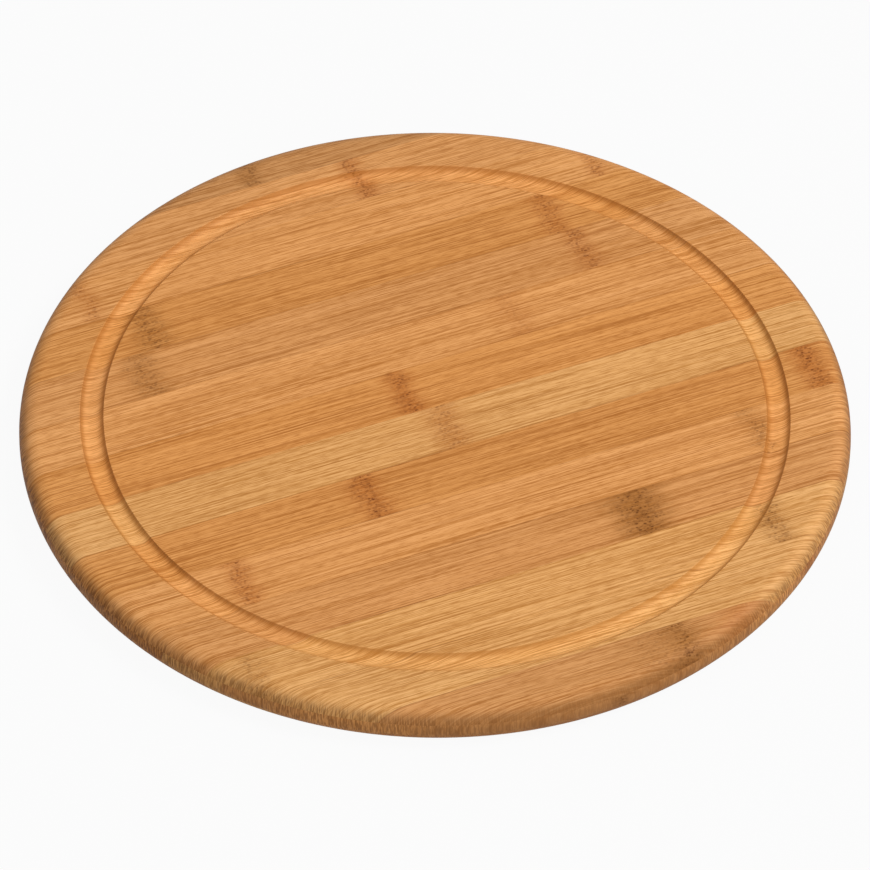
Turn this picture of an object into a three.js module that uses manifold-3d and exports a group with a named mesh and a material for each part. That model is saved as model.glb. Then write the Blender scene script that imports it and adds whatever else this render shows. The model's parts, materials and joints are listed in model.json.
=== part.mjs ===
// Round bamboo cutting board: three plies of edge-glued strips, turned round, with a juice groove on top.
// Millimetres. +Z is up, +X runs along the grain, and the origin is the middle of the underside.
import * as THREE from "three";
import { mergeVertices } from "three/addons/utils/BufferGeometryUtils.js";
import Module from "manifold-3d";

// Finished board
const BOARD_DIAMETER = 300;
const EDGE_RADIUS = 7;

// Bamboo stock and glue
const STRIP_WIDTH = 21.75;
const PLY_THICKNESS = 4.9;
const GLUE_LINE = 0.15;
const TOP_SEAM_OFFSET = 2.2;

// Juice groove: distance in from the rim, width, depth and the rounding where its walls meet its floor
const GROOVE_INSET = 22;
const GROOVE_WIDTH = 8.5;
const GROOVE_DEPTH = 2;
const GROOVE_CORNER = 4;

// Stock that is turned or planed away outside the finished surfaces
const TURNING_ALLOWANCE = 5;
// The narrowest strip left at the rim, wider than the rounding: below this, its neighbour is laid wider
const NARROWEST_STRIP = 8;

// Facets round the board, over its rounded rim and over each corner of the groove
const ROUND_FACETS = 120;
const EDGE_FACETS = 5;
const CORNER_FACETS = 3;

// Plies from the underside up; a shift is the share of a pitch by which a ply's seams move across the grain
const PLIES = [
  { name: "base", shift: 0 },
  { name: "core", shift: -0.25 },
  { name: "top", shift: 0 },
];
// Sides of a ply's seam nearest the middle, with their direction across the grain
const SIDES = { far: 1, near: -1 };

// Bamboo tones, and the tone of each strip counted outwards from the seam nearest the middle
const TONES = { pale: "#dba062", honey: "#d69555", tan: "#ce8f52", amber: "#cd8b49" };
const TONE_ORDER = {
  base: {
    far: ["honey", "tan", "pale", "amber", "honey", "pale", "tan"],
    near: ["pale", "amber", "honey", "tan", "pale", "honey", "amber"],
  },
  core: {
    far: ["tan", "amber", "honey", "tan", "pale"],
    near: ["honey", "tan", "amber", "pale", "tan"],
  },
  top: {
    far: ["amber", "honey", "tan", "amber", "honey", "tan", "tan"],
    near: ["pale", "amber", "honey", "tan", "pale", "pale", "tan"],
  },
};

const boardRadius = BOARD_DIAMETER / 2;
const boardThickness = PLIES.length * PLY_THICKNESS + (PLIES.length - 1) * GLUE_LINE;
const edgeRadius = Math.min(EDGE_RADIUS, boardThickness / 2);
const stripPitch = STRIP_WIDTH + GLUE_LINE;
const plyPitch = PLY_THICKNESS + GLUE_LINE;

const wasm = await Module();
wasm.setup();

function solidOf(geometry) {
  geometry.deleteAttribute("normal");
  geometry.deleteAttribute("uv");
  const merged = mergeVertices(geometry);
  const corners = Array.from(merged.index.array);
  const faces = [];
  for (let i = 0; i < corners.length; i += 3) {
    const [a, b, c] = corners.slice(i, i + 3);
    if (a !== b && b !== c && c !== a) faces.push(a, b, c);
  }
  return new wasm.Manifold(
    new wasm.Mesh({
      numProp: 3,
      vertProperties: new Float32Array(merged.attributes.position.array),
      triVerts: new Uint32Array(faces),
    }),
  );
}

function geometryOf(solid) {
  const mesh = solid.getMesh();
  const geometry = new THREE.BufferGeometry();
  geometry.setAttribute("position", new THREE.BufferAttribute(mesh.vertProperties, 3));
  geometry.setIndex(new THREE.BufferAttribute(mesh.triVerts, 1));
  return geometry;
}

function turned(profile) {
  return solidOf(new THREE.LatheGeometry(profile, ROUND_FACETS).rotateX(Math.PI / 2));
}

function arc(centreX, centreZ, radius, fromAngle, toAngle, facets) {
  const points = [];
  for (let i = 0; i <= facets; i++) {
    const angle = fromAngle + ((toAngle - fromAngle) * i) / facets;
    points.push(new THREE.Vector2(
      centreX + radius * Math.cos(angle),
      centreZ + radius * Math.sin(angle),
    ));
  }
  return points;
}

// The turned disc, its rim rounded from the underside to the face
function turnedDisc() {
  const centre = boardRadius - edgeRadius;
  const upper = boardThickness - edgeRadius;
  const profile = [
    new THREE.Vector2(0, 0),
    ...arc(centre, edgeRadius, edgeRadius, -Math.PI / 2, 0, EDGE_FACETS),
    ...arc(centre, upper, edgeRadius, 0, Math.PI / 2, EDGE_FACETS),
    new THREE.Vector2(0, boardThickness),
  ];
  return turned(profile);
}

// The ring that a cutter with rounded corners takes out, from the groove's floor to above the face
function grooveRing() {
  const half = GROOVE_WIDTH / 2;
  const middle = boardRadius - GROOVE_INSET - half;
  const rise = Math.min(GROOVE_CORNER, GROOVE_DEPTH);
  const turn = Math.acos(1 - rise / GROOVE_CORNER);
  const offset = half - GROOVE_CORNER * Math.sin(turn);
  const cornerZ = boardThickness - GROOVE_DEPTH + GROOVE_CORNER;
  const above = boardThickness + TURNING_ALLOWANCE;
  const down = -Math.PI / 2;
  const channel = [
    ...arc(middle - offset, cornerZ, GROOVE_CORNER, down - turn, down, CORNER_FACETS),
    ...arc(middle + offset, cornerZ, GROOVE_CORNER, down, down + turn, CORNER_FACETS),
  ];
  const profile = [
    ...channel,
    new THREE.Vector2(middle + half, above),
    new THREE.Vector2(middle - half, above),
    channel[0],
  ];
  return turned(profile);
}

// Seams on one side of a ply, counted outwards from its seam nearest the middle; sign is 1 for the far side
function seamsOf(ply, sign) {
  const first = TOP_SEAM_OFFSET + ply.shift * stripPitch;
  const limit = boardRadius - NARROWEST_STRIP;
  const seams = [];
  for (let i = 0; sign * first + i * stripPitch < limit; i++) {
    seams.push(first + sign * i * stripPitch);
  }
  return seams;
}

// A rough strip between two seams; the outermost strips and plies reach past the finished surfaces
function roughStrip(near, far, bottom, top) {
  const length = BOARD_DIAMETER + 2 * TURNING_ALLOWANCE;
  const geometry = new THREE.BoxGeometry(length, far - near, top - bottom);
  geometry.translate(0, (near + far) / 2, (bottom + top) / 2);
  return solidOf(geometry);
}

function stripMaterial(tones, index) {
  return new THREE.MeshStandardMaterial({
    color: TONES[tones[index % tones.length]],
    roughness: 0.5,
    metalness: 0,
  });
}

const finished = turnedDisc().subtract(grooveRing());
const outside = boardRadius + TURNING_ALLOWANCE;
const board = new THREE.Group();
board.name = "round_cutting_board";

PLIES.forEach((ply, level) => {
  const plyGroup = new THREE.Group();
  plyGroup.name = `${ply.name}_ply`;
  plyGroup.position.z = level * plyPitch;
  const isLowest = level === 0;
  const isHighest = level === PLIES.length - 1;
  const bottom = isLowest ? -TURNING_ALLOWANCE : level * plyPitch;
  const top = isHighest ? boardThickness + TURNING_ALLOWANCE : level * plyPitch + PLY_THICKNESS;

  for (const [side, sign] of Object.entries(SIDES)) {
    const seams = seamsOf(ply, sign);
    seams.forEach((seam, i) => {
      const isOutermost = i === seams.length - 1;
      const inner = seam + (sign * GLUE_LINE) / 2;
      const outer = isOutermost ? sign * outside : seams[i + 1] - (sign * GLUE_LINE) / 2;
      const middle = (inner + sign * Math.min(sign * outer, boardRadius)) / 2;
      const rough = roughStrip(Math.min(inner, outer), Math.max(inner, outer), bottom, top);
      const geometry = geometryOf(finished.intersect(rough));
      geometry.translate(0, -middle, -plyGroup.position.z);
      const strip = new THREE.Mesh(geometry, stripMaterial(TONE_ORDER[ply.name][side], i));
      strip.name = `${ply.name}_strip_${side}_${i + 1}`;
      strip.position.y = middle;
      plyGroup.add(strip);
    });
  }
  board.add(plyGroup);
});

export default board;
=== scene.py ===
"""Looks of the round bamboo cutting board: finely turned strips, bamboo, studio light and camera."""

import json
import math

import bmesh
import bpy
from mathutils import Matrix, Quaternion, Vector


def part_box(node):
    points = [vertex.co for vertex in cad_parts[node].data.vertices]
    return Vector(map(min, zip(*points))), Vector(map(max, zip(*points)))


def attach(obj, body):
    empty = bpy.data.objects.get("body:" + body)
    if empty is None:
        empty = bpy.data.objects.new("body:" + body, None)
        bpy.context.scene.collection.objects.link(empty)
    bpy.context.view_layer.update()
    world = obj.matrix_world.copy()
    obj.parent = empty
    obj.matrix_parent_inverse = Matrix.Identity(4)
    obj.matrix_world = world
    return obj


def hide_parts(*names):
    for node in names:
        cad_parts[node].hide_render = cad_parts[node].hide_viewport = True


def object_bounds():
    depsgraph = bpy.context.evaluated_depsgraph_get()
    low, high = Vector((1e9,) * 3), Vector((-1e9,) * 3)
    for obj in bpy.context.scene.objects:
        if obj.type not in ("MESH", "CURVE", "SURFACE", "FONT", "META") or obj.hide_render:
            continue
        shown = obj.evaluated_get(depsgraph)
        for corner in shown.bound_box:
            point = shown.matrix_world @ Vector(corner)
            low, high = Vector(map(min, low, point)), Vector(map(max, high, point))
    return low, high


MM = 0.001

# Turned shape of the board, as in the solids, with a small round on the groove's lips
EDGE_RADIUS = 7 * MM
GROOVE_INSET = 22 * MM
GROOVE_WIDTH = 8.5 * MM
GROOVE_DEPTH = 2 * MM
GROOVE_CORNER = 4 * MM
LIP_RADIUS = 0.3 * MM
# Width of a flat border that keeps the shading of large flat faces even
FLAT_BORDER = 0.3 * MM

# Fineness of the turned surfaces
ROUND_STEPS = 360
EDGE_STEPS = 20
CORNER_STEPS = 12
LIP_STEPS = 5
SHARP_ANGLE = math.radians(35)

# How much of the glue line each strip takes over on either side
GLUE_TAKEN = 0.065 * MM
# Corners this near to a cut count as on it, so that no slivers are left
CUT_TOLERANCE = 0.002 * MM

# Camera: direction, distance, width of the picture at the board's middle, height aimed at
CAMERA_AZIMUTH = math.radians(-23.2)
CAMERA_ELEVATION = math.radians(45.4)
CAMERA_ROLL = math.radians(0.6)
CAMERA_DISTANCE = 3.2
VIEW_WIDTH = 0.3143
AIM_HEIGHT = 2.8 * MM

# Bamboo tones: the strip's usual colour, sRGB
TONES = {
    "pale": (219, 160, 94),
    "honey": (214, 149, 85),
    "tan": (206, 143, 82),
    "amber": (205, 139, 73),
}
# Studio: the floor's colour, size in m, rows of faces, gap under the board and how white it shows, and the
# light all round
FLOOR_PALE = (175, 175, 175)
FLOOR_SIZE = 12
FLOOR_ROWS = 8
FLOOR_GAP = 0.1 * MM
FLOOR_WHITENESS = 0.94
WORLD_STRENGTH = 0.52

# Shares of a strip's usual colour, in linear light, that its parts take
DRIFT_DARK = (0.95, 0.93, 0.90)
DRIFT_LIGHT = (1.06, 1.07, 1.10)
DARK_STREAK = (0.70, 0.57, 0.33)
DARK_FIBRE = (0.57, 0.42, 0.21)
LIGHT_FIBRE = (1.18, 1.27, 1.50)
# Cut fibres on the rim: the dark of end grain, and on the side grain also painted shade over the rim's
# round
CUT_FIBRE_AND_SHADE = (0.22, 0.165, 0.10)
# Groove's walls: partly a darker stain of the cut walls, partly painted shade in the groove
GROOVE_WALL_STAIN_AND_SHADE = (0.66, 0.48, 0.10)
FRESH_CUT = (1.16, 1.18, 1.18)
# Painted sheen: shares that make the border outside the groove paler and less saturated
PAINTED_SHEEN_BORDER = (1.0, 1.03, 1.08)

# Patterns: how rough noise is, and how far one step of a seed moves noise and scattered points
NOISE_ROUGHNESS = 0.55
NOISE_STEP = (17.3, 5.9, 11.1)
CELL_STEP = (7.7, 13.1, 3.3)

# Grain: how far it wanders across the strip, and the length, width and depth in mm of that and of the
# drift of its tone, which goes from dark to light between two values of the noise
WANDER = 0.8 * MM
WANDER_SIZE = (200, 30, 30)
DRIFT_SIZE = (130, 12, 12)
DRIFT_NOISE = (0.3, 0.7)
# Lines of the grain, from the lowest layer: what each adds to the strip's seed, its size in mm, its detail
# and its marks: the noise at which a mark starts and is full, its strength, and its share of the colour
GRAIN_LINES = {
    "streaks": (2, (130, 1.5, 40), 2.0, [(0.50, 0.70, 0.75, DARK_STREAK), (0.46, 0.30, 0.40, LIGHT_FIBRE)]),
    "fibres": (4, (40, 0.4, 40), 1.0, [(0.51, 0.68, 0.68, DARK_FIBRE), (0.49, 0.32, 0.68, LIGHT_FIBRE)]),
    "flecks": (5, (4.5, 0.28, 20), 1.0, [(0.51, 0.69, 0.54, DARK_FIBRE), (0.49, 0.31, 0.50, LIGHT_FIBRE)]),
    "bundles": (3, (100, 0.55, 40), 1.0, [(0.56, 0.70, 0.65, DARK_FIBRE)]),
}
# Surface: its unevenness, its roughness from streak to streak, and its shine
BUMP_STRENGTH = 0.2
BUMP_DEPTH = 0.08 * MM
ROUGHNESS = (0.5, 0.66)
SHINE = 0.15

# Turned surfaces: how level a surface is where it starts to count as turned and where it fully does, and
# how much fainter the lines of the grain are there. The same ramp shapes the painted shade that the side
# grain lays over the rim's round.
TURNED_LEVEL = (0.92, 0.5)
TURNED_CALM = 0.5
# Ticks on the rim: their size in mm, and the noise at which one starts and is full
TICK_SIZE = (0.48, 1, 4)
TICK_NOISE = (0.40, 0.60)
# How far a surface faces along the grain where it starts to show end grain and where it fully does, and the
# same for a rim that slants across the grain
END_FACING = (0.4, 1.0)
SLANT_FACING = (0.1, 0.6)
# How strongly cut fibres show beside a tick and on it: at end grain, and where the rim runs along the grain
# or slants across it, where the darkening is partly cut fibre and partly painted shade over the rim's round
END_CUT = (0.45, 1.0)
SIDE_CUT_AND_SHADE = (0.36, 0.50)
SLANT_CUT_AND_SHADE = (0.18, 0.68)

# Groove and border: heights from the groove's floor and distances in from the rim between which they begin,
# and the width over which the border's painted sheen begins
FACE_BEGINS = (-2 * MM, -1 * MM)
RIM_ENDS = (12 * MM, 20 * MM)
SHEEN_BORDER_BLEND = 1 * MM
# Groove's walls: how level a wall is where its darkening starts and is full, the strength of that
# darkening, which is partly a stain of the cut walls and partly painted shade in the groove, and that of
# the rim's dark end grain and side grain
WALL_LEVEL = (1.0, 0.7)
WALL_STAIN_AND_SHADE = 0.45
WALL_END_CUT = 0.5
WALL_SIDE_CUT = 0.2

# Glue lines: their colour, their width and that of their dark core, their strength, the size in mm of the
# stretches where they show, and the noise at which a stretch starts and is full
GLUE_BROWN = (128, 76, 34)
GLUE_WIDTH = 0.4 * MM
GLUE_CORE = 0.05 * MM
GLUE_STRENGTH = 0.4
GLUE_STRETCH = (35, 60, 60)
GLUE_NOISE = (0.45, 0.65)

# Knots: how far they wander along the grain, and in mm the size of that, of their ragged edges and of their
# mottling, and the spacing of their dark fibre ends
KNOT_WANDER = 3.5 * MM
KNOT_WANDER_SIZE = (60, 9, 30)
KNOT_EDGE_SIZE = (14, 1.6, 4)
KNOT_MOTTLE_SIZE = (1.5, 0.8, 0.9)
KNOT_END_SPACING = (1.4, 0.85, 1.0)
# Clouds of knots: the shares of the half length between which their edges lie, and their strength
CLOUD_EDGE = (0.2, 2.2)
CLOUD_STRENGTH = 0.8
# Dark ends of knots: the same shares, their smallest and largest size as a share of their spacing, how soft
# they are, and the noise at which the mottling among them starts and is full, and its strength
ENDS_EDGE = (0.0, 1.8)
END_SIZE = (-0.1, 0.85)
END_SOFTNESS = 0.4
MOTTLE_NOISE = (0.42, 0.66)
MOTTLE_STRENGTH = 0.55
# Colours of knots, brown and reddish: dark fibre ends and the cloud around them
KNOT_DARK = (96, 50, 8)
KNOT_BROWN = (150, 92, 32)
KNOT_RED_DARK = (110, 52, 10)
KNOT_RED = (176, 98, 34)

# Shade of the top strips that are darker or lighter than their tone
TOP_SHADES = {
    "top_strip_far_1": 1.04,
    "top_strip_far_6": 1.03,
    "top_strip_far_7": 0.82,
    "top_strip_near_1": 0.95,
    "top_strip_near_5": 0.97,
    "top_strip_near_6": 0.95,
    "top_strip_near_7": 0.92,
}
# Knots of the top strips: place along the grain and half length in mm, strength of the dark ends
# and of the cloud, and if it is reddish
TOP_KNOTS = {
    "top_strip_far_7": [(-16, 7, 0.7, 0.5, False)],
    "top_strip_far_6": [(21, 6, 0.75, 0.55, True)],
    "top_strip_far_5": [(-96, 6, 0.5, 0.3, True), (105, 6, 0.7, 0.4, True)],
    "top_strip_far_4": [(-80, 10, 0.6, 0.45, False), (78, 8, 0.65, 0.45, True)],
    "top_strip_far_3": [(-90, 10, 0.55, 0.45, False), (83, 7, 0.75, 0.4, True)],
    "top_strip_far_2": [(45, 9, 0.25, 0.25, True)],
    "top_strip_far_1": [(-7, 8, 0.8, 0.7, True)],
    "top_strip_near_1": [(1, 10, 0.5, 0.4, True)],
    "top_strip_near_2": [(-38, 9, 0.9, 0.6, True), (135, 9, 0.9, 0.75, True)],
    "top_strip_near_3": [(-96, 7, 0.7, 0.5, True), (104, 7, 0.6, 0.3, False)],
    "top_strip_near_4": [(48, 15, 0.9, 0.9, False)],
    "top_strip_near_5": [(-109, 8, 0.4, 0.25, False), (90, 8, 0.7, 0.4, False)],
    "top_strip_near_6": [],
    "top_strip_near_7": [(37, 8, 1.0, 0.45, False), (30, 24, 0.3, 0.35, False), (60, 13, 0.25, 0.5, True)],
}
# Unseen strips: a knot about this often along a stem in mm, how much further along the next strip's first
# knot lies, as a share of that, and such a knot's half length in mm and strengths
KNOT_SPACING = 230
KNOT_STEP = 0.618
USUAL_KNOT = (7, 0.7, 0.5)

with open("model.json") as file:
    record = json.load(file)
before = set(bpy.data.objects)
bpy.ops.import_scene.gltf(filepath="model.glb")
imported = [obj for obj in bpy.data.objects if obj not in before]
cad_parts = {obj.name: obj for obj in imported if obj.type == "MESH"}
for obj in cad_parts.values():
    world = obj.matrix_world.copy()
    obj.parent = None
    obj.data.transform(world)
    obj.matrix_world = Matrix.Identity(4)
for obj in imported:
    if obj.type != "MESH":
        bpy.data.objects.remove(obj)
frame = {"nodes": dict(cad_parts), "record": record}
cad_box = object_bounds()
board_radius = (cad_box[1][0] - cad_box[0][0]) / 2
board_thickness = cad_box[1][2] - cad_box[0][2]
groove_floor = board_thickness - GROOVE_DEPTH


def linear(colour):
    """An sRGB colour of 0 to 255 as linear RGBA."""
    shares = [c / 255 for c in colour]
    return [s / 12.92 if s <= 0.04045 else ((s + 0.055) / 1.055) ** 2.4 for s in shares] + [1.0]


def tinted(colour, shares):
    """A linear colour with its red, green and blue taken to these shares."""
    return [c * share for c, share in zip(colour, shares)] + [1.0]


# Turned board

def arc(centre, radius, from_angle, to_angle, steps):
    """Points (radius, height) of an arc in the board's section."""
    angles = [from_angle + (to_angle - from_angle) * i / steps for i in range(steps + 1)]
    return [(centre[0] + radius * math.cos(a), centre[1] + radius * math.sin(a)) for a in angles]


def groove_section():
    """The groove from its outer lip to its inner lip, with both lips rounded."""
    half = GROOVE_WIDTH / 2
    middle = board_radius - GROOVE_INSET - half
    turn = math.acos(1 - GROOVE_DEPTH / GROOVE_CORNER)
    offset = half - GROOVE_CORNER * math.sin(turn)
    corner_height = board_thickness - GROOVE_DEPTH + GROOVE_CORNER
    lip_height = board_thickness - LIP_RADIUS
    drop = corner_height - lip_height
    lip_offset = offset + math.sqrt((GROOVE_CORNER + LIP_RADIUS) ** 2 - drop ** 2)
    slope = math.asin(drop / (GROOVE_CORNER + LIP_RADIUS))
    up = math.pi / 2
    return (
        arc((middle + lip_offset, lip_height), LIP_RADIUS, up, math.pi - slope, LIP_STEPS)[:-1]
        + arc((middle + offset, corner_height), GROOVE_CORNER, -slope, -up, CORNER_STEPS)
        + arc((middle - offset, corner_height), GROOVE_CORNER, -up, slope - math.pi, CORNER_STEPS)
        + arc((middle - lip_offset, lip_height), LIP_RADIUS, slope, up, LIP_STEPS)[1:]
    )


def board_section():
    """The board's half section from the underside, round the rim and through the groove to the face."""
    centre = board_radius - EDGE_RADIUS
    upper = board_thickness - EDGE_RADIUS
    under = arc((centre, EDGE_RADIUS), EDGE_RADIUS, -math.pi / 2, 0, EDGE_STEPS)
    over = arc((centre, upper), EDGE_RADIUS, 0, math.pi / 2, EDGE_STEPS)
    groove = groove_section()
    return (
        [(centre - FLAT_BORDER, 0)] + under + over
        + [(centre - FLAT_BORDER, board_thickness), (groove[0][0] + FLAT_BORDER, board_thickness)]
        + groove
        + [(groove[-1][0] - FLAT_BORDER, board_thickness)]
    )


def turned_board():
    """The whole finished board as one closed turned mesh."""
    mesh = bmesh.new()
    rings = []
    for radius, height in board_section():
        ring = []
        for i in range(ROUND_STEPS):
            angle = 2 * math.pi * i / ROUND_STEPS
            ring.append(mesh.verts.new((radius * math.cos(angle), radius * math.sin(angle), height)))
        rings.append(ring)
    for lower, higher in zip(rings, rings[1:]):
        for i in range(ROUND_STEPS):
            j = (i + 1) % ROUND_STEPS
            mesh.faces.new((lower[i], lower[j], higher[j], higher[i]))
    mesh.faces.new(reversed(rings[0]))
    mesh.faces.new(rings[-1])
    return mesh


def cut_away(mesh, point, direction):
    """Cuts off what lies beyond the point in that direction, and closes the cut."""
    parts = mesh.verts[:] + mesh.edges[:] + mesh.faces[:]
    cut = bmesh.ops.bisect_plane(
        mesh, geom=parts, dist=CUT_TOLERANCE, plane_co=point, plane_no=direction, clear_outer=True
    )
    edges = [part for part in cut["geom_cut"] if isinstance(part, bmesh.types.BMEdge)]
    if edges:
        bmesh.ops.contextual_create(mesh, geom=edges)


def strip_object(name, whole_ply, low, high):
    """One strip cut out of its ply across the grain, between two places."""
    mesh = whole_ply.copy()
    cut_away(mesh, (0, low, 0), (0, -1, 0))
    cut_away(mesh, (0, high, 0), (0, 1, 0))
    data = bpy.data.meshes.new(name)
    mesh.to_mesh(data)
    mesh.free()
    data.shade_smooth()
    data.set_sharp_from_angle(angle=SHARP_ANGLE)
    strip = bpy.data.objects.new(name, data)
    bpy.context.scene.collection.objects.link(strip)
    return strip


# Bamboo

class Shader:
    """A material's node tree, one call per node."""

    def __init__(self, name):
        self.material = bpy.data.materials.new(name)
        self.material.use_nodes = True
        self.tree = self.material.node_tree
        self.tree.nodes.clear()

    def node(self, kind, inputs, **settings):
        """A new node. Each of its inputs is a value or another node's output."""
        made = self.tree.nodes.new(kind)
        for key, value in settings.items():
            setattr(made, key, value)
        for key, value in inputs.items():
            if isinstance(value, bpy.types.NodeSocket):
                self.tree.links.new(value, made.inputs[key])
            else:
                made.inputs[key].default_value = value
        return made

    def maths(self, operation, *values):
        return self.node("ShaderNodeMath", dict(enumerate(values)), operation=operation).outputs[0]

    def vectors(self, operation, *values):
        return self.node("ShaderNodeVectorMath", dict(enumerate(values)), operation=operation).outputs

    def ramp(self, value, start, end):
        """0 to 1, smoothly, as the value goes from start to end."""
        inputs = {"Value": value, "From Min": start, "From Max": end}
        return self.node("ShaderNodeMapRange", inputs, interpolation_type="SMOOTHSTEP").outputs[0]

    def between(self, value, low, high):
        """A value of 0 to 1 as a value from low to high."""
        inputs = {"Value": value, "To Min": low, "To Max": high}
        return self.node("ShaderNodeMapRange", inputs).outputs[0]

    def mixed(self, share, first, second, blend="MIX"):
        inputs = {0: share, 6: first, 7: second}
        return self.node("ShaderNodeMix", inputs, data_type="RGBA", blend_type=blend).outputs[2]

    def scaled(self, place, size, seed, step):
        """The place in units of a size in mm, moved by the seed so that no two patterns are alike."""
        return self.node("ShaderNodeMapping", {
            "Vector": place,
            "Location": [seed * part for part in step],
            "Scale": [1 / (s * MM) for s in size],
        }).outputs[0]

    def grain(self, place, size, seed, detail=2.0):
        """Noise whose grains have the given length, width and depth in mm."""
        inputs = {
            "Vector": self.scaled(place, size, seed, NOISE_STEP),
            "Scale": 1.0,
            "Detail": detail,
            "Roughness": NOISE_ROUGHNESS,
        }
        return self.node("ShaderNodeTexNoise", inputs).outputs[0]

    def cells(self, place, size, seed):
        """Scattered points, spaced by a size in mm: distance to the nearest, and a colour of its own."""
        inputs = {"Vector": self.scaled(place, size, seed, CELL_STEP), "Scale": 1.0}
        return self.node("ShaderNodeTexVoronoi", inputs).outputs


class Bamboo(Shader):
    """Bamboo of one strip, cut along its fibres. Each call lays one thing over the colour so far."""

    def __init__(self, name, usual, seed):
        super().__init__(name)
        self.usual = usual
        self.seed = seed
        self.place = self.node("ShaderNodeTexCoord", {}).outputs["Object"]
        wander = self.between(self.grain(self.place, WANDER_SIZE, seed), -WANDER, WANDER)
        shift = self.node("ShaderNodeCombineXYZ", {"Y": wander}).outputs[0]
        self.bent = self.vectors("ADD", self.place, shift)[0]
        parts = self.node("ShaderNodeSeparateXYZ", {"Vector": self.place}).outputs
        self.along = parts["X"]
        self.across = parts["Y"]
        self.height = parts["Z"]
        normal = self.node("ShaderNodeNewGeometry", {}).outputs["Normal"]
        facing = self.node("ShaderNodeSeparateXYZ", {"Vector": normal}).outputs
        self.endwise = self.maths("ABSOLUTE", facing["X"])
        self.level = self.maths("ABSOLUTE", facing["Z"])
        self.turned = self.ramp(self.level, *TURNED_LEVEL)
        self.lines = {}

    def part_colour(self, shares):
        """The colour of a part that takes these shares of the usual colour."""
        return tinted(self.usual, shares)

    def lay(self, share, strength, over):
        """Lays a colour over what is there, as strongly as the share says, up to the given strength."""
        self.colour = self.mixed(self.maths("MULTIPLY", share, strength), self.colour, over)

    def tint(self, share, shares):
        """Takes the colour so far to these shares of itself."""
        self.colour = self.mixed(share, self.colour, [*shares, 1.0], blend="MULTIPLY")

    def draw_grain(self):
        """The slow drift of the tone and the lines of the grain, calmer on turned surfaces."""
        drift = self.ramp(self.grain(self.bent, DRIFT_SIZE, self.seed + 1, detail=1.0), *DRIFT_NOISE)
        self.colour = self.mixed(drift, self.part_colour(DRIFT_DARK), self.part_colour(DRIFT_LIGHT))
        for name, (added, size, detail, marks) in GRAIN_LINES.items():
            self.lines[name] = self.grain(self.bent, size, self.seed + added, detail)
            for start, full, strength, shares in marks:
                mark = self.ramp(self.lines[name], start, full)
                self.lay(mark, strength, self.part_colour(shares))
        self.lay(self.turned, TURNED_CALM, self.part_colour((1, 1, 1)))

    def draw_knot(self, seed, where, reach, darkness, cloudiness, reddish):
        """A knot across the strip: a soft cloud with dark fibre ends in it."""
        brown, dark = (KNOT_RED, KNOT_RED_DARK) if reddish else (KNOT_BROWN, KNOT_DARK)
        wander = self.grain(self.bent, KNOT_WANDER_SIZE, seed + 0.3)
        offset = self.maths("SUBTRACT", self.along, where * MM)
        offset = self.maths("ADD", offset, self.between(wander, -KNOT_WANDER, KNOT_WANDER))
        distance = self.maths("ABSOLUTE", offset)
        ragged = self.grain(self.bent, KNOT_EDGE_SIZE, seed + 0.7)
        cloud_edge = self.between(ragged, *(share * reach * MM for share in CLOUD_EDGE))
        self.lay(self.ramp(distance, cloud_edge, 0.0), CLOUD_STRENGTH * cloudiness, linear(brown))

        mottled = self.ramp(self.grain(self.bent, KNOT_MOTTLE_SIZE, seed + 0.5), *MOTTLE_NOISE)
        cells = self.cells(self.bent, KNOT_END_SPACING, seed)
        size = self.between(cells["Color"], *END_SIZE)
        spots = self.ramp(cells["Distance"], size, self.maths("SUBTRACT", size, END_SOFTNESS))
        ends = self.maths("MAXIMUM", spots, self.maths("MULTIPLY", mottled, MOTTLE_STRENGTH))
        ends_edge = self.between(ragged, *(share * reach * MM for share in ENDS_EDGE))
        inside = self.ramp(distance, ends_edge, 0.0)
        self.lay(self.maths("MULTIPLY", ends, inside), darkness, linear(dark))

    def cut_groove(self):
        """The groove's fresh floor and its walls, darkened partly by a stain and partly by painted shade,
        and a painted sheen on the border outside it; says where it is.
        """
        flat = self.vectors("MULTIPLY", self.place, (1, 1, 0))[0]
        radius = self.vectors("LENGTH", flat)["Value"]
        near_face = self.ramp(self.height, *(groove_floor + rise for rise in FACE_BEGINS))
        inside_rim = self.ramp(radius, *(board_radius - inset for inset in RIM_ENDS))
        groove = self.maths("MULTIPLY", inside_rim, near_face)

        groove_edge = board_radius - GROOVE_INSET
        # Painted sheen: the border outside the groove is made paler and less saturated
        border = self.ramp(radius, groove_edge, groove_edge + SHEEN_BORDER_BLEND)
        self.tint(self.maths("MULTIPLY", border, near_face), PAINTED_SHEEN_BORDER)
        depth = self.ramp(self.height, board_thickness, groove_floor)
        self.tint(self.maths("MULTIPLY", groove, depth), FRESH_CUT)
        # The groove's steep walls darken, partly as a stain of the cut walls and partly as painted shade in
        # the groove
        steep = self.ramp(self.level, *WALL_LEVEL)
        self.lay(self.maths("MULTIPLY", groove, steep), WALL_STAIN_AND_SHADE, self.part_colour(GROOVE_WALL_STAIN_AND_SHADE))
        return groove

    def turn_rim(self, groove):
        """Fibres cut by turning: dark ticks at end grain, fainter where the rim runs along the grain, where
        they also carry painted shade over the rim's round.
        """
        angle = self.maths("ARCTAN2", self.across, self.along)
        round_rim = self.node("ShaderNodeCombineXYZ", {
            "X": self.maths("MULTIPLY", angle, board_radius),
            "Z": self.height,
        })
        ticks = self.ramp(self.grain(round_rim.outputs[0], TICK_SIZE, self.seed + 8), *TICK_NOISE)
        end_grain = self.ramp(self.endwise, *END_FACING)
        end_grain = self.maths("MULTIPLY", end_grain, self.between(ticks, *END_CUT))
        end_grain = self.maths("MULTIPLY", end_grain, self.between(groove, 1.0, WALL_END_CUT))

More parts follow.
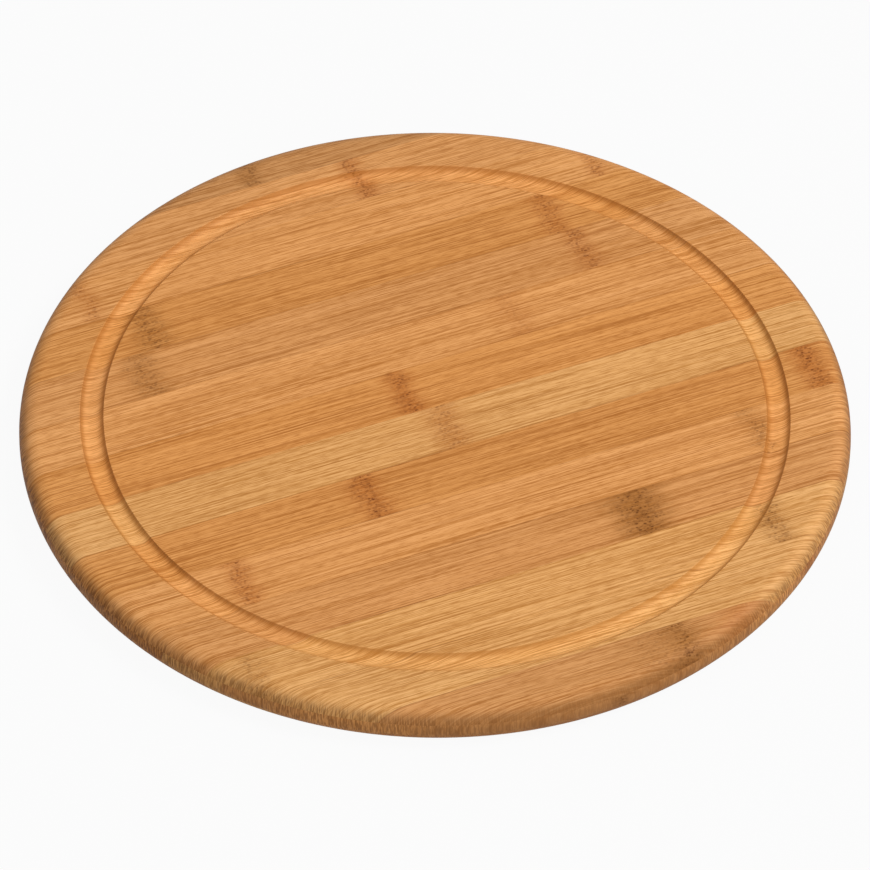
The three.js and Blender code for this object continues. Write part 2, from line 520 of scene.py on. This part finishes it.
        # Side grain darkens the whole round of the rim with its ticks: partly cut fibre, partly painted
        # shade
        slant = self.ramp(self.endwise, *SLANT_FACING)
        beside_ticks = self.between(slant, SIDE_CUT_AND_SHADE[0], SLANT_CUT_AND_SHADE[0])
        on_ticks = self.between(slant, SIDE_CUT_AND_SHADE[1], SLANT_CUT_AND_SHADE[1])
        side_grain_and_shade = self.maths("MULTIPLY", self.turned, self.between(ticks, beside_ticks, on_ticks))
        side_grain_and_shade = self.maths("MULTIPLY", side_grain_and_shade, self.between(groove, 1.0, WALL_SIDE_CUT))
        cut = self.maths("MAXIMUM", end_grain, side_grain_and_shade)
        self.colour = self.mixed(cut, self.colour, self.part_colour(CUT_FIBRE_AND_SHADE))

    def glue_edges(self, low, high):
        """Faint broken glue lines along the strip's edges, which lie at these places across the grain."""
        from_low = self.maths("SUBTRACT", self.across, low)
        edge = self.maths("MINIMUM", from_low, self.maths("SUBTRACT", high, self.across))
        stretches = self.ramp(self.grain(self.place, GLUE_STRETCH, self.seed + 9), *GLUE_NOISE)
        glue = self.maths("MULTIPLY", self.ramp(edge, GLUE_WIDTH, GLUE_CORE), stretches)
        self.lay(glue, GLUE_STRENGTH, linear(GLUE_BROWN))

    def finish(self):
        """The oiled satin surface, slightly uneven along its fibres."""
        bump = {"Height": self.lines["fibres"], "Strength": BUMP_STRENGTH, "Distance": BUMP_DEPTH}
        surface = self.node("ShaderNodeBsdfPrincipled", {
            "Base Color": self.colour,
            "Roughness": self.between(self.lines["streaks"], *ROUGHNESS),
            "Specular IOR Level": SHINE,
            "Normal": self.node("ShaderNodeBump", bump).outputs[0],
        })
        self.node("ShaderNodeOutputMaterial", {"Surface": surface.outputs[0]})
        return self.material


def bamboo(name, tone, shade, seed, low, high, knots):
    """Bamboo of a strip between two places across the grain, with its knots."""
    usual = [c * shade for c in linear(TONES[tone])[:3]]
    strip = Bamboo(name, usual, seed)
    strip.draw_grain()
    for i, knot in enumerate(knots):
        strip.draw_knot(seed + 5 + i, *knot)
    strip.turn_rim(strip.cut_groove())
    strip.glue_edges(low, high)
    return strip.finish()


def usual_knots(number):
    """Knots of a strip that the picture doesn't show, spread along its stem."""
    first = (number * KNOT_STEP % 1) * KNOT_SPACING - board_radius / MM
    places = [first, first + KNOT_SPACING]
    reddish = number % 2 == 0
    return [(place, *USUAL_KNOT, reddish) for place in places if place < board_radius / MM]


def dress_strips():
    """Replaces each strip's solid by its finely turned strip, in bamboo of its own tone."""
    slots = {part["node"]: part["material_slot"] for part in frame["record"]["subparts"]}
    whole = turned_board()
    plies = {}
    for number, node in enumerate(sorted(frame["nodes"])):
        low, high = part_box(node)
        ply = node.split("_")[0]
        if ply not in plies:
            plies[ply] = whole.copy()
            cut_away(plies[ply], (0, 0, low.z - GLUE_TAKEN), (0, 0, -1))
            cut_away(plies[ply], (0, 0, high.z + GLUE_TAKEN), (0, 0, 1))
        near, far = low.y - GLUE_TAKEN, high.y + GLUE_TAKEN
        strip = strip_object(f"bamboo_{node}", plies[ply], near, far)
        knots = TOP_KNOTS.get(node, usual_knots(number))
        tone = slots[node].split("_")[0]
        shade = TOP_SHADES.get(node, 1.0)
        strip.data.materials.append(bamboo(f"bamboo_{node}", tone, shade, number, near, far, knots))
        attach(strip, "root")
        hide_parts(node)
    for mesh in [whole, *plies.values()]:
        mesh.free()


# Studio

def seen_directly(shader):
    """1 for rays that show a surface to the camera, straight or in a reflection."""
    rays = shader.node("ShaderNodeLightPath", {}).outputs
    reflected = shader.maths("MAXIMUM", rays["Is Glossy Ray"], rays["Is Transmission Ray"])
    return shader.maths("MAXIMUM", rays["Is Camera Ray"], reflected)


def white_floor():
    """A wide pale floor that shows white to the camera and keeps the board's soft shadow."""
    bpy.ops.mesh.primitive_grid_add(x_subdivisions=FLOOR_ROWS, y_subdivisions=FLOOR_ROWS, size=FLOOR_SIZE)
    floor = bpy.context.object
    floor.name = "floor"
    floor.location.z = -FLOOR_GAP
    shader = Shader("floor_white")
    pale = shader.node("ShaderNodeBsdfDiffuse", {"Color": linear(FLOOR_PALE)})
    white = shader.node("ShaderNodeEmission", {"Strength": 1.0})
    share = shader.maths("MULTIPLY", seen_directly(shader), FLOOR_WHITENESS)
    surface = shader.node("ShaderNodeMixShader", {0: share, 1: pale.outputs[0], 2: white.outputs[0]})
    shader.node("ShaderNodeOutputMaterial", {"Surface": surface.outputs[0]})
    floor.data.materials.append(shader.material)


def soft_light(name, azimuth, elevation, distance, size, power):
    """A square lamp that faces the board, placed as the camera is: azimuth 0 is in front."""
    data = bpy.data.lights.new(name, "AREA")
    data.size = size
    data.energy = power
    lamp = bpy.data.objects.new(name, data)
    back = direction(math.radians(azimuth), math.radians(elevation))
    lamp.location = back * distance
    lamp.rotation_euler = (-back).to_track_quat("-Z", "Y").to_euler()
    bpy.context.scene.collection.objects.link(lamp)


def direction(azimuth, elevation):
    """From the board towards a place at that azimuth and elevation."""
    return Vector((
        math.sin(azimuth) * math.cos(elevation),
        -math.cos(azimuth) * math.cos(elevation),
        math.sin(elevation),
    ))


def studio_light():
    """Even light from all round, a main lamp on the camera's right and a weak one beside the camera."""
    world = bpy.data.worlds.new("studio")
    world.use_nodes = True
    background = world.node_tree.nodes["Background"]
    background.inputs["Color"].default_value = (1.0, 1.0, 1.0, 1.0)
    background.inputs["Strength"].default_value = WORLD_STRENGTH
    bpy.context.scene.world = world
    soft_light("key", azimuth=67, elevation=49, distance=4.0, size=1.4, power=100)
    soft_light("fill", azimuth=-20, elevation=35, distance=4.0, size=2.5, power=36)


def photo_camera():
    """A long lens at the picture's viewing angle, from above and a little left of the front."""
    data = bpy.data.cameras.new("camera")
    data.lens = data.sensor_width * CAMERA_DISTANCE / VIEW_WIDTH
    camera = bpy.data.objects.new("camera", data)
    back = direction(CAMERA_AZIMUTH, CAMERA_ELEVATION)
    camera.location = Vector((0, 0, AIM_HEIGHT)) + back * CAMERA_DISTANCE
    level = (-back).to_track_quat("-Z", "Y")
    camera.rotation_mode = "QUATERNION"
    camera.rotation_quaternion = level @ Quaternion((0, 0, 1), CAMERA_ROLL)
    bpy.context.scene.collection.objects.link(camera)
    bpy.context.scene.camera = camera


dress_strips()
white_floor()
studio_light()
photo_camera()
bpy.context.scene.view_settings.view_transform = "Standard"
